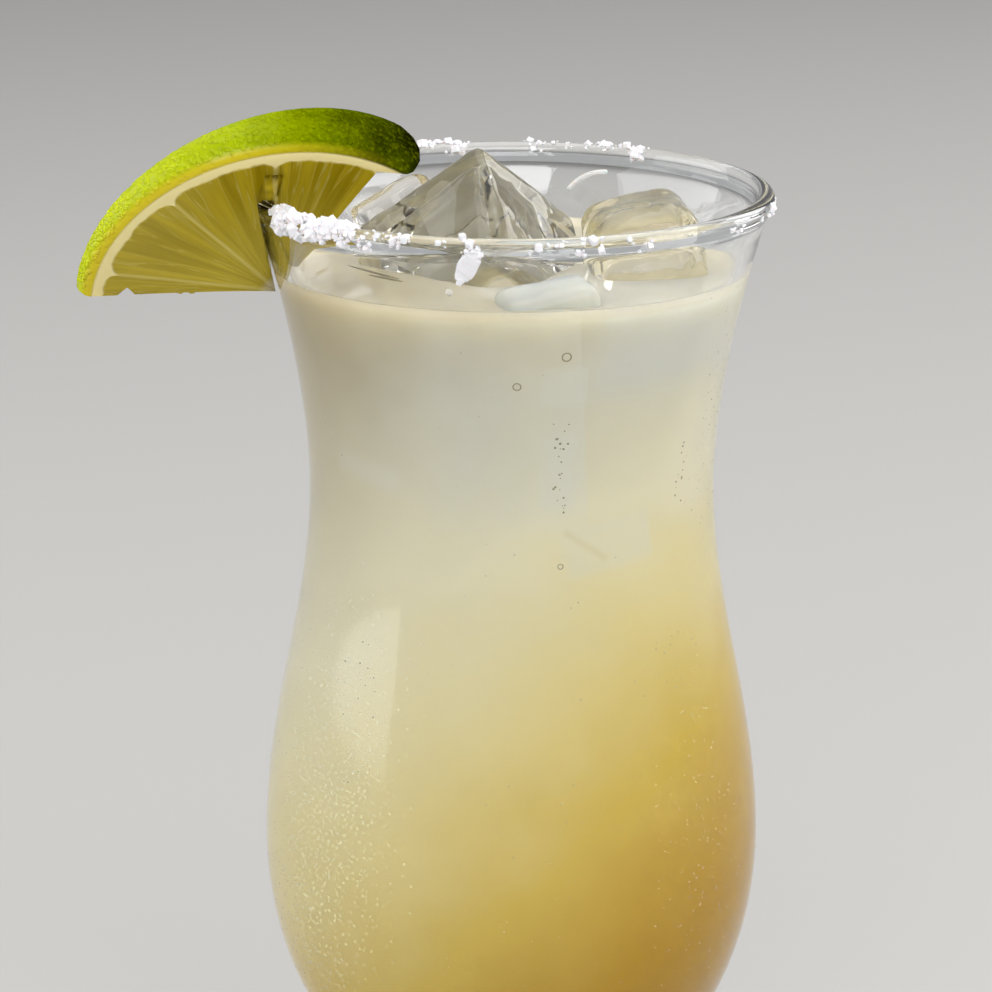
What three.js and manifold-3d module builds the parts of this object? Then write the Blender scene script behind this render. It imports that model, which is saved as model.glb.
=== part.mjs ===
// Margarita on ice in a tall curved glass, salt on the rim and a slice of lime pushed over it.
// Millimetres, +Z up. The foot stands at the origin and the front of the glass faces -Y.
import * as THREE from 'three';
import { mergeVertices } from 'three/addons/utils/BufferGeometryUtils.js';
import Module from 'manifold-3d';

const wasm = await Module();
wasm.setup();

// Sizes of the glass. A drop is measured down from the top of the rim.
const GLASS_HEIGHT = 203;
const RIM_RADIUS = 39;
const FLARE_POWER = 1.66;
const WAIST_RADIUS = 30.5;
const WAIST_DROP = 43.8;
const BELLY_RADIUS = 37.8;
const BELLY_DROP = 100.8;
const BOWL_ROUND = 46.8;
const BOWL_FLOOR = 7;
const WALL_AT_RIM = 2;
const WALL_AT_BELLY = 3;
const BEAD_RADIUS = 1.35;
const BEAD_WRAP = 0.6;
const STEM_RADIUS = 9;
const STEM_NECK = 43;
const STEM_JOIN_RADIUS = 20;
const FOOT_RADIUS = 37;
const FOOT_EDGE = 3.6;
const FOOT_ROUND = 1.2;
const ROUND_STEPS = 40;

// Sizes of the drink
const GAP = 0.3;
const FILL_DROP = 12;
const MENISCUS_RISE = 0.9;
const MENISCUS_WIDTH = 2.4;

// Sizes of the lime slice. Its front face is tipped forward and its tip hangs on the outside wall.
const LIME_RADIUS = 28.9;
const LIME_BULGE = 1;
const LIME_THICKNESS = 8.6;
const LIME_TAPER = 0.0165;
const LIME_TURN = 0.24;
const LIME_LEAN = -0.568;
const LIME_TIP = new THREE.Vector3(-34.7, -3.7, GLASS_HEIGHT - 15);
const LIME_RIGHT_CUT = 62;
const LIME_RIGHT_END = 45;
const LIME_LEFT_CUT = 178;
const LIME_SEGMENTS = 10;
const LIME_SEGMENT_PHASE = 24;
const LIME_SEGMENT_STEPS = 8;
const LIME_FACE_STEPS = 6;
const LIME_DIP = 0.45;
const PITH_WIDTH = 2.3;
const RIND_ROUND = 0.5;
const NICK_AT = 22.8;
const NICK_SIZE = 1.3;
const SLIT_CLEARANCE = 0.5;
const SLIT_ABOVE_RIM = 5;

// Ice pieces: width, depth and height, the middle, and turns about X, Y and Z in degrees.
const ICE_STEPS = 4;
const ICE_POWER = 11;
const ICE_WOBBLE = 0.035;
const CORNER_UP = 54.7;
const ICE_PIECES = [
  { name: 'ice_1', size: [26, 26, 26], at: [-5, 4.5, -16.4], turn: [45, CORNER_UP - 90, 105] },
  { name: 'ice_2', size: [16.5, 16.5, 17], at: [20.2, -0.5, -10.6], turn: [8, -12, 10] },
  { name: 'ice_3', size: [18, 9, 14], at: [7.5, -23.2, -16.2], turn: [6, 4, 17] },
  { name: 'ice_4', size: [13, 6, 12], at: [-17, 23, -10.5], turn: [-10, -20, 34] },
];

// Salt along the rim: where each stretch starts and ends in degrees, how many grains, their widths,
// and how far round the bead they lie, from the outside wall over the top to the inside.
const SALT_SEED = 20417;
const SALT_SINK = 0.1;
const SALT_STRETCHES = [
  { start: 207, end: 232, count: 40, wide: 2.1, fine: 1.2, outside: -70, inside: 130 },
  { start: 232, end: 247, count: 9, wide: 1.5, fine: 0.8, outside: -50, inside: 110 },
  { start: 250, end: 265, count: 6, wide: 1.4, fine: 0.8, outside: -40, inside: 100 },
  { start: 274, end: 290, count: 6, wide: 1.6, fine: 0.8, outside: -50, inside: 60 },
  { start: 294, end: 332, count: 5, wide: 1, fine: 0.7, outside: -60, inside: 40 },
  { start: 336, end: 362, count: 6, wide: 1.3, fine: 0.7, outside: -50, inside: 50 },
  { start: 56, end: 69, count: 8, wide: 1.8, fine: 0.9, outside: 40, inside: 170 },
  { start: 70, end: 96, count: 6, wide: 1.4, fine: 0.8, outside: 60, inside: 170 },
  { start: 97, end: 112, count: 7, wide: 1.8, fine: 0.9, outside: 40, inside: 170 },
];
const FLAKE_LENGTH = 6.4;
const FLAKE_WIDTH = 2.7;
const FLAKE_THICKNESS = 1;
const FLAKE_ANGLE = 260.5;
const FLAKE_DROP = 3.8;
const FLAKE_TURN = -28;

const toRadians = THREE.MathUtils.degToRad;
const lerp = THREE.MathUtils.lerp;

// Repeatable random numbers from 0 to 1
let chanceState = SALT_SEED;
function chance() {
  chanceState = (chanceState * 1664525 + 1013904223) % 4294967296;
  return chanceState / 4294967296;
}

function evenSteps(from, to, count) {
  return Array.from({ length: count + 1 }, (_, index) => lerp(from, to, index / count));
}

// Outside radius of the bowl: it flares to the rim, narrows to a waist and swells to a belly.
function outsideRadius(drop) {
  if (drop < WAIST_DROP) {
    const rise = (WAIST_DROP - drop) / WAIST_DROP;
    return WAIST_RADIUS + (RIM_RADIUS - WAIST_RADIUS) * rise ** FLARE_POWER;
  }
  const part = Math.min(1, (drop - WAIST_DROP) / (BELLY_DROP - WAIST_DROP));
  return lerp(WAIST_RADIUS, BELLY_RADIUS, (1 - Math.cos(Math.PI * part)) / 2);
}

function insideRadius(drop) {
  return outsideRadius(drop) - lerp(WALL_AT_RIM, WALL_AT_BELLY, drop / BELLY_DROP);
}

function insidePoint(drop, inset) {
  return new THREE.Vector2(insideRadius(drop) - inset, GLASS_HEIGHT - drop);
}

// Points round the bottom of a bowl, from the belly in to the axis
function bowlRound(radius, depth, steps) {
  return evenSteps(0, Math.PI / 2, steps).map((angle) => new THREE.Vector2(
    angle === Math.PI / 2 ? 0 : radius * Math.cos(angle),
    GLASS_HEIGHT - BELLY_DROP - depth * Math.sin(angle),
  ));
}

// A profile given as radius and height, turned round the Z axis
function turned(points, steps) {
  return new THREE.LatheGeometry(points, steps).rotateX(Math.PI / 2);
}

function solid(geometry) {
  const plain = geometry.clone();
  plain.deleteAttribute('normal');
  plain.deleteAttribute('uv');
  const welded = mergeVertices(plain, 1e-4);
  return new wasm.Manifold(new wasm.Mesh({
    numProp: 3,
    vertProperties: new Float32Array(welded.attributes.position.array),
    triVerts: new Uint32Array(welded.index.array),
  }));
}

function finished(name, body, colour, roughness) {
  const shape = body.getMesh();
  const geometry = new THREE.BufferGeometry();
  geometry.setAttribute('position', new THREE.BufferAttribute(shape.vertProperties, 3));
  geometry.setIndex(new THREE.BufferAttribute(shape.triVerts, 1));
  geometry.computeVertexNormals();
  const finish = new THREE.MeshStandardMaterial({ color: colour, roughness, metalness: 0 });
  const mesh = new THREE.Mesh(geometry, finish);
  mesh.name = name;
  return mesh;
}

// Foot and stem: a flat disc with a rounded edge that sweeps up to a neck and out into the bowl.
function footAndStem() {
  const tuck = Math.acos(STEM_JOIN_RADIUS / BELLY_RADIUS);
  const joinHeight = GLASS_HEIGHT - BELLY_DROP - BOWL_ROUND * Math.sin(tuck);
  const slope = new THREE.Vector2(BELLY_RADIUS * Math.sin(tuck), BOWL_ROUND * Math.cos(tuck));
  slope.setLength(STEM_RADIUS);
  const path = new THREE.Path();
  path.moveTo(0, 0);
  path.lineTo(FOOT_RADIUS - FOOT_ROUND, 0);
  path.lineTo(FOOT_RADIUS, FOOT_ROUND);
  path.lineTo(FOOT_RADIUS, FOOT_EDGE - FOOT_ROUND);
  path.lineTo(FOOT_RADIUS - FOOT_ROUND, FOOT_EDGE);
  path.bezierCurveTo(
    FOOT_RADIUS / 2, 2 * FOOT_EDGE, STEM_RADIUS, STEM_NECK / 3, STEM_RADIUS, STEM_NECK,
  );
  path.bezierCurveTo(
    STEM_RADIUS, STEM_NECK + STEM_RADIUS,
    STEM_JOIN_RADIUS - slope.x, joinHeight - slope.y,
    STEM_JOIN_RADIUS, joinHeight,
  );
  return path.getPoints(6);
}

function glassProfile() {
  const beadAt = new THREE.Vector2(RIM_RADIUS - BEAD_RADIUS, GLASS_HEIGHT - BEAD_RADIUS);
  const beadDrop = 3 * BEAD_RADIUS;
  const outsideRound = bowlRound(BELLY_RADIUS, BOWL_ROUND, 6).reverse();
  const lowerBowl = outsideRound.filter((point) => point.x > STEM_JOIN_RADIUS);
  const outsideWall = evenSteps(BELLY_DROP, beadDrop, 11).slice(1).map(
    (drop) => new THREE.Vector2(outsideRadius(drop), GLASS_HEIGHT - drop),
  );
  const bead = evenSteps(-BEAD_WRAP, Math.PI + BEAD_WRAP, 6).map((angle) => new THREE.Vector2(
    beadAt.x + BEAD_RADIUS * Math.cos(angle),
    beadAt.y + BEAD_RADIUS * Math.sin(angle),
  ));
  const insideWall = evenSteps(beadDrop, BELLY_DROP, 10).map((drop) => insidePoint(drop, 0));
  const insideRound = bowlRound(BELLY_RADIUS - WALL_AT_BELLY, BOWL_ROUND - BOWL_FLOOR, 5);
  return [
    ...footAndStem(), ...lowerBowl, ...outsideWall, ...bead, ...insideWall, ...insideRound.slice(1),
  ];
}

// One grain of salt: an uneven block pressed a little into the rim bead
function saltGrain(angle, roundBead, width) {
  const block = new THREE.BoxGeometry(
    width * lerp(0.75, 1, chance()), width * lerp(0.75, 1, chance()), width * lerp(0.7, 1, chance()),
  );
  block.rotateX(Math.PI * chance());
  block.rotateY(Math.PI * chance());
  const reach = BEAD_RADIUS + SALT_SINK * width;
  const radius = RIM_RADIUS - BEAD_RADIUS + reach * Math.cos(roundBead);
  const height = GLASS_HEIGHT - BEAD_RADIUS + reach * Math.sin(roundBead);
  block.translate(radius, 0, height);
  block.rotateZ(angle);
  return solid(block);
}

// Grains along one stretch of the rim, largest first
function saltStretch({ start, end, count, wide, fine, outside, inside }) {
  return evenSteps(wide, fine, count - 1).map((width) => {
    const angle = toRadians(lerp(start, end, chance()));
    const roundBead = toRadians(lerp(outside, inside, chance()));
    return saltGrain(angle, roundBead, width);
  });
}

// A leaf-shaped flake of salt that hangs on the outside just under the rim
function saltFlake() {
  const leaf = new THREE.Shape();
  leaf.moveTo(0, -FLAKE_LENGTH / 2);
  leaf.quadraticCurveTo(FLAKE_WIDTH, 0, 0, FLAKE_LENGTH / 2);
  leaf.quadraticCurveTo(-FLAKE_WIDTH, 0, 0, -FLAKE_LENGTH / 2);
  const flake = new THREE.ExtrudeGeometry(leaf, {
    depth: FLAKE_THICKNESS, bevelEnabled: false, curveSegments: 5,
  });
  const lean = Math.atan(outsideRadius(FLAKE_DROP) - outsideRadius(FLAKE_DROP + 1));
  flake.translate(0, 0, -FLAKE_THICKNESS / 2);
  flake.rotateZ(toRadians(FLAKE_TURN));
  flake.rotateX(Math.PI / 2 + lean);
  flake.translate(0, -outsideRadius(FLAKE_DROP), GLASS_HEIGHT - FLAKE_DROP);
  flake.rotateZ(toRadians(FLAKE_ANGLE - 270));
  return solid(flake);
}

// Glass and salt as one body, with the pockets shut in between grains filled
function saltedGlass() {
  const salt = [...SALT_STRETCHES.flatMap(saltStretch), saltFlake()];
  const bare = solid(turned(glassProfile(), ROUND_STEPS));
  const shells = salt.reduce((body, grain) => body.add(grain), bare).decompose();
  return shells.sort((one, other) => other.volume() - one.volume())[0];
}

// An ice cube with worn corners and faces that swell and sink a little
function iceBlock({ size, at, turn }, grow) {
  const block = new THREE.BoxGeometry(2, 2, 2, ICE_STEPS, ICE_STEPS, ICE_STEPS);
  const place = block.attributes.position;
  const point = new THREE.Vector3();
  for (let index = 0; index < place.count; index += 1) {
    point.fromBufferAttribute(place, index);
    const spread = point.toArray().reduce((sum, side) => sum + Math.abs(side) ** ICE_POWER, 0);
    const wave = Math.sin(3 * point.x + at[0]) * Math.sin(3 * point.y + at[1]) * Math.cos(2 * point.z);
    point.multiplyScalar((1 + ICE_WOBBLE * wave) / spread ** (1 / ICE_POWER));
    place.setXYZ(index, point.x, point.y, point.z);
  }
  block.scale(size[0] / 2 + grow, size[1] / 2 + grow, size[2] / 2 + grow);
  block.rotateX(toRadians(turn[0]));
  block.rotateY(toRadians(turn[1]));
  block.rotateZ(toRadians(turn[2]));
  block.translate(at[0], at[1], GLASS_HEIGHT + at[2]);
  return solid(block);
}

// A whole wheel of lime with its front face at zero, thinner to the left
function limeWheel() {
  const flesh = LIME_RADIUS - PITH_WIDTH;
  const face = evenSteps(0, flesh, LIME_FACE_STEPS);
  const back = face.map((radius) => new THREE.Vector2(radius, -LIME_THICKNESS));
  const front = face.map((radius) => new THREE.Vector2(radius, 0)).reverse();
  const rind = new THREE.Path();
  rind.moveTo(LIME_RADIUS - RIND_ROUND, -LIME_THICKNESS);
  rind.lineTo(LIME_RADIUS, RIND_ROUND - LIME_THICKNESS);
  rind.quadraticCurveTo(
    LIME_RADIUS + 2 * LIME_BULGE, -LIME_THICKNESS / 2, LIME_RADIUS, -RIND_ROUND,
  );
  rind.lineTo(LIME_RADIUS - RIND_ROUND, 0);
  const profile = [...back, ...rind.getPoints(4), ...front];
  const wheel = turned(profile, LIME_SEGMENTS * LIME_SEGMENT_STEPS);
  const place = wheel.attributes.position;
  const point = new THREE.Vector3();
  for (let index = 0; index < place.count; index += 1) {
    point.fromBufferAttribute(place, index);
    const radius = Math.hypot(point.x, point.y);
    const turn = Math.atan2(point.y, point.x) - toRadians(LIME_SEGMENT_PHASE);
    const segment = Math.abs(Math.sin(turn * LIME_SEGMENTS / 2));
    const across = Math.sin(Math.PI * Math.min(1, radius / flesh));
    const dip = LIME_DIP * Math.sqrt(Math.max(0, segment * across));
    const depth = point.z + (point.z > -LIME_THICKNESS / 2 ? -dip : dip);
    place.setZ(index, depth * (1 + LIME_TAPER * point.x));
  }
  return solid(wheel);
}

// Outline of the slice: two straight cuts from the tip, with pith and rind running on at the right
function limeOutline() {
  const polar = (radius, degrees) => new THREE.Vector2(
    radius * Math.cos(toRadians(degrees)), radius * Math.sin(toRadians(degrees)),
  );
  const beyond = 1.5 * LIME_RADIUS;
  const outline = [new THREE.Vector2(0, 0), polar(LIME_RADIUS - PITH_WIDTH, LIME_RIGHT_CUT)];
  outline.push(polar(LIME_RADIUS + 2 * LIME_BULGE, LIME_RIGHT_END));
  evenSteps(LIME_RIGHT_END, LIME_LEFT_CUT, 6).forEach((degrees) => outline.push(polar(beyond, degrees)));
  outline.push(polar(NICK_AT + NICK_SIZE, LIME_LEFT_CUT));
  outline.push(polar(NICK_AT, LIME_LEFT_CUT - 3 * NICK_SIZE));
  outline.push(polar(NICK_AT - NICK_SIZE, LIME_LEFT_CUT));
  const depth = 4 * LIME_THICKNESS;
  const cutter = new THREE.ExtrudeGeometry(new THREE.Shape(outline), { depth, bevelEnabled: false });
  return solid(cutter.translate(0, 0, -depth / 2));
}

// The drink and the wall of the glass with a little room round them, carried on above the rim
function slitRoom() {
  const surfaceDrop = FILL_DROP - MENISCUS_RISE - GAP;
  const bottom = GLASS_HEIGHT - WAIST_DROP;
  const outer = [...evenSteps(WAIST_DROP, BEAD_RADIUS, 8), 0, -SLIT_ABOVE_RIM].map(
    (drop) => new THREE.Vector2(
      outsideRadius(Math.max(0, drop)) + SLIT_CLEARANCE, GLASS_HEIGHT - drop,
    ),
  );
  const inner = [-SLIT_ABOVE_RIM, 0, ...evenSteps(BEAD_RADIUS, surfaceDrop, 3)].map(
    (drop) => insidePoint(Math.max(0, drop), SLIT_CLEARANCE).setY(GLASS_HEIGHT - drop),
  );
  const surface = new THREE.Vector2(0, GLASS_HEIGHT - surfaceDrop);
  return solid(turned([new THREE.Vector2(0, bottom), ...outer, ...inner, surface], 2 * ROUND_STEPS));
}

function limeSlice() {
  const right = new THREE.Vector3(Math.cos(LIME_TURN), Math.sin(LIME_TURN), 0);
  const front = new THREE.Vector3(
    Math.sin(LIME_TURN) * Math.cos(LIME_LEAN),
    -Math.cos(LIME_TURN) * Math.cos(LIME_LEAN),
    Math.sin(LIME_LEAN),
  );
  const up = new THREE.Vector3().crossVectors(front, right);
  const pose = new THREE.Matrix4().makeBasis(right, up, front).setPosition(LIME_TIP);
  return limeWheel().intersect(limeOutline()).transform(pose.elements).subtract(slitRoom());
}

// The drink fills the bowl to its level and creeps up a little at the wall.
function drinkBody(ice) {
  const level = GLASS_HEIGHT - FILL_DROP;
  const wall = evenSteps(BELLY_DROP, FILL_DROP - MENISCUS_RISE, 9).map((drop) => insidePoint(drop, GAP));
  const bottom = bowlRound(BELLY_RADIUS - WALL_AT_BELLY - GAP, BOWL_ROUND - BOWL_FLOOR - GAP, 5);
  const edge = insideRadius(FILL_DROP) - GAP;
  const top = [
    new THREE.Vector2(edge - MENISCUS_WIDTH / 3, level + MENISCUS_RISE / 4),
    new THREE.Vector2(edge - MENISCUS_WIDTH, level),
    new THREE.Vector2(0, level),
  ];
  const full = solid(turned([...bottom.reverse().slice(0, -1), ...wall, ...top], ROUND_STEPS));
  return ice.reduce((body, block) => body.subtract(block), full);
}

const group = new THREE.Group();
group.add(finished('glass', saltedGlass(), 0xdfe5e2, 0.06));
group.add(finished('drink', drinkBody(ICE_PIECES.map((piece) => iceBlock(piece, GAP))), 0xd6cda4, 0.2));
ICE_PIECES.forEach((piece) => group.add(finished(piece.name, iceBlock(piece, 0), 0xe2e8e4, 0.08)));
group.add(finished('lime', limeSlice(), 0xa3b32c, 0.4));

export default group;
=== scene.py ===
"""Margarita on ice in a tall stemmed glass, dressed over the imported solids."""

import logging
import math
from contextlib import contextmanager
from dataclasses import dataclass, field
from enum import Enum
from typing import Any, Callable, Iterator, Mapping, Sequence, Union

import bpy
import numpy as np
from mathutils import Euler, Matrix, Vector


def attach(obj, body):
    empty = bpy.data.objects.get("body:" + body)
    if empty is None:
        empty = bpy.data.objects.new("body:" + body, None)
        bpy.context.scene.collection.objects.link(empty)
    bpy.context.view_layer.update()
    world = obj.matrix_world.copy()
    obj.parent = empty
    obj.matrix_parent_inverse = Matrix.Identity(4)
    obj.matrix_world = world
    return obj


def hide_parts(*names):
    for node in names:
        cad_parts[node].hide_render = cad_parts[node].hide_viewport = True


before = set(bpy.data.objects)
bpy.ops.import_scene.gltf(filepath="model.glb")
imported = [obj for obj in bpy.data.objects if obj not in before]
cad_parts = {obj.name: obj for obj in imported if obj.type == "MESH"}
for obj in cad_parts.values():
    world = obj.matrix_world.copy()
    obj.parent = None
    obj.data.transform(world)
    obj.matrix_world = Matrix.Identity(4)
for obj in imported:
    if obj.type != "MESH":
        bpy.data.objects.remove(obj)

log = logging.getLogger("margarita")

MM = 0.001
TURN = 2 * math.pi
Colour = tuple[float, float, float, float]
Outline = list[tuple[float, float]]
Number = Union["Wire", float]
Shape = tuple[np.ndarray, list[tuple[int, ...]]]


def tint(red: float, green: float, blue: float) -> Colour:
    """Turns a screen tone into a linear colour.

    Args:
        red: Red from 0 to 255.
        green: Green from 0 to 255.
        blue: Blue from 0 to 255.

    Returns:
        The linear colour with full alpha.
    """
    parts = [value / 255 for value in (red, green, blue)]
    linear = [c / 12.92 if c <= 0.04045 else ((c + 0.055) / 1.055) ** 2.4 for c in parts]
    return (linear[0], linear[1], linear[2], 1.0)


def even_steps(start: float, end: float, count: int) -> list[float]:
    """Numbers from start to end in count equal steps, both ends included."""
    return [start + (end - start) * index / count for index in range(count + 1)]


def blend(first: float, second: float, share: float) -> float:
    """The number that lies at a share of the way from first to second."""
    return first + (second - first) * share


def round_axis(radius: float, turn: float, height: float) -> Vector:
    """A place in metres from a radius, a turn in radians and a height, both lengths in millimetres."""
    return Vector((radius * math.cos(turn), radius * math.sin(turn), height)) * MM


class Chance:
    """Repeatable random numbers from 0 to 1."""

    def __init__(self, seed: int) -> None:
        """Starts the row of numbers at a seed."""
        self.state = seed

    def draw(self) -> float:
        """The next number from 0 to 1."""
        self.state = (self.state * 1664525 + 1013904223) % 4294967296
        return self.state / 4294967296

    def between(self, low: float, high: float) -> float:
        """The next number from low to high."""
        return blend(low, high, self.draw())


def wire_sum(operation: str, swapped: bool = False) -> Callable[..., "Wire"]:
    """Makes an operator for wires.

    Args:
        operation: The sum that it stands for.
        swapped: Whether the wire is the second number of the sum.

    Returns:
        The operator.
    """

    def operator(wire: "Wire", *other: Number) -> "Wire":
        """The sum of a wire and a number."""
        parts = (*other, wire) if swapped else (wire, *other)
        return wire.sheet.maths(operation, *parts)

    return operator


class Wire:
    """A number on a shader socket that takes part in plain sums."""

    def __init__(self, sheet: "NodeSheet", socket: bpy.types.NodeSocket) -> None:
        """Wraps one output socket of a node sheet."""
        self.sheet = sheet
        self.socket = socket

    __add__, __radd__ = wire_sum("ADD"), wire_sum("ADD", True)
    __sub__, __rsub__ = wire_sum("SUBTRACT"), wire_sum("SUBTRACT", True)
    __mul__, __rmul__ = wire_sum("MULTIPLY"), wire_sum("MULTIPLY", True)
    __truediv__, __pow__, __abs__ = wire_sum("DIVIDE"), wire_sum("POWER"), wire_sum("ABSOLUTE")


class NodeSheet:
    """The node tree of one material."""

    def __init__(self, name: str) -> None:
        """Makes an empty material.

        Args:
            name: The material's name.
        """
        self.material = bpy.data.materials.new(name)
        self.material.use_nodes = True
        self.tree = self.material.node_tree
        self.tree.nodes.clear()

    def node(
        self,
        kind: str,
        settings: Mapping[str, Any] | None = None,
        values: Mapping[Any, Any] | None = None,
    ) -> bpy.types.Node:
        """Adds a node.

        Args:
            kind: The node's type without its ShaderNode prefix.
            settings: Attributes to set first. The key stops holds a ramp's places and colours.
            values: Socket names or numbers with a value, a Wire or a socket to link.

        Returns:
            The new node.
        """
        made = self.tree.nodes.new("ShaderNode" + kind)
        for key, value in (settings or {}).items():
            if key == "stops":
                self._set_stops(made.color_ramp, value)
            else:
                setattr(made, key, value)
        for key, value in (values or {}).items():
            self._feed(made.inputs[key], value)
        return made

    @staticmethod
    def _set_stops(ramp: bpy.types.ColorRamp, stops: Sequence[tuple[float, Colour]]) -> None:
        """Fills a colour ramp.

        Args:
            ramp: The ramp to fill.
            stops: Places from 0 to 1 with their colours.
        """
        while len(ramp.elements) < len(stops):
            ramp.elements.new(1.0)
        for element, (place, colour) in zip(ramp.elements, stops):
            element.position = place
            element.color = colour

    def _feed(self, socket: bpy.types.NodeSocket, value: Any) -> None:
        """Links a socket or sets its value.

        Args:
            socket: The input socket.
            value: A Wire or an output socket to link, or a plain value.
        """
        if isinstance(value, Wire):
            self.tree.links.new(value.socket, socket)
        elif isinstance(value, bpy.types.NodeSocket):
            self.tree.links.new(value, socket)
        else:
            socket.default_value = value

    def maths(self, operation: str, *parts: Number) -> Wire:
        """One sum on numbers and wires."""
        made = self.node("Math", {"operation": operation}, dict(enumerate(parts)))
        return Wire(self, made.outputs[0])

    def place(self) -> bpy.types.NodeSocket:
        """Finds where a point of the piece is.

        Returns:
            The place in millimetres.
        """
        coords = self.node("TexCoord").outputs["Object"]
        made = self.node("Mapping", {"vector_type": "POINT"}, {"Vector": coords, "Scale": (1000,) * 3})
        return made.outputs[0]

    def place_in(self, pose: Matrix) -> bpy.types.NodeSocket:
        """Where a point is in a turned frame, in millimetres.

        Args:
            pose: The frame's place in metres.

        Returns:
            The vector socket.
        """
        coords = self.node("TexCoord").outputs["Object"]
        values = {
            "Vector": coords,
            "Location": pose.to_translation(),
            "Rotation": pose.to_euler("XYZ"),
            "Scale": (MM,) * 3,
        }
        return self.node("Mapping", {"vector_type": "TEXTURE"}, values).outputs[0]

    def split(self, vector: bpy.types.NodeSocket) -> tuple[Wire, Wire, Wire]:
        """The three numbers of a vector."""
        made = self.node("SeparateXYZ", values={0: vector})
        return Wire(self, made.outputs[0]), Wire(self, made.outputs[1]), Wire(self, made.outputs[2])

    def joined(self, x: Number, y: Number, z: Number) -> bpy.types.NodeSocket:
        """A vector from three numbers."""
        return self.node("CombineXYZ", values={0: x, 1: y, 2: z}).outputs[0]

    def noise(self, vector: bpy.types.NodeSocket, scale: float, detail: float = 2.0) -> Wire:
        """Soft noise from 0 to 1."""
        made = self.node("TexNoise", values={"Vector": vector, "Scale": scale, "Detail": detail})
        return Wire(self, made.outputs["Fac"])

    def cells(self, vector: bpy.types.NodeSocket, scale: float, feature: str = "F1") -> Wire:
        """Distance in a pattern of cells."""
        made = self.node("TexVoronoi", {"feature": feature}, {"Vector": vector, "Scale": scale})
        return Wire(self, made.outputs["Distance"])

    def rise(self, value: Number, low: float, high: float) -> Wire:
        """Makes a soft step.

        Args:
            value: The number to follow.
            low: Where the step is 0.
            high: Where the step is 1.

        Returns:
            A number from 0 to 1.
        """
        values = {"Value": value, "From Min": low, "From Max": high}
        made = self.node("MapRange", {"interpolation_type": "SMOOTHSTEP"}, values)
        return Wire(self, made.outputs[0])

    def ramp(self, value: Number, stops: Sequence[tuple[float, Colour]]) -> bpy.types.NodeSocket:
        """A colour that follows a number."""
        return self.node("ValToRGB", {"stops": stops}, {0: value}).outputs[0]

    def mix(self, share: Number, first: Any, second: Any) -> bpy.types.NodeSocket:
        """A colour between two colours."""
        made = self.node("Mix", {"data_type": "RGBA"}, {0: share, 6: first, 7: second})
        return made.outputs[2]

    def bump(self, height: Number, depth: float, strength: float = 1.0) -> bpy.types.NodeSocket:
        """A bent normal from a height in units of depth millimetres."""
        values = {"Height": height, "Distance": depth * MM, "Strength": strength}
        return self.node("Bump", values=values).outputs[0]

    def finish(self, values: Mapping[str, Any]) -> bpy.types.Material:
        """Ends the sheet with one surface shader.

        Args:
            values: Sockets of the shader with values or links.

        Returns:
            The finished material.
        """
        shader = self.node("BsdfPrincipled", {"subsurface_method": "BURLEY"}, values)
        self.node("OutputMaterial", values={"Surface": shader.outputs[0]})
        return self.material


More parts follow.
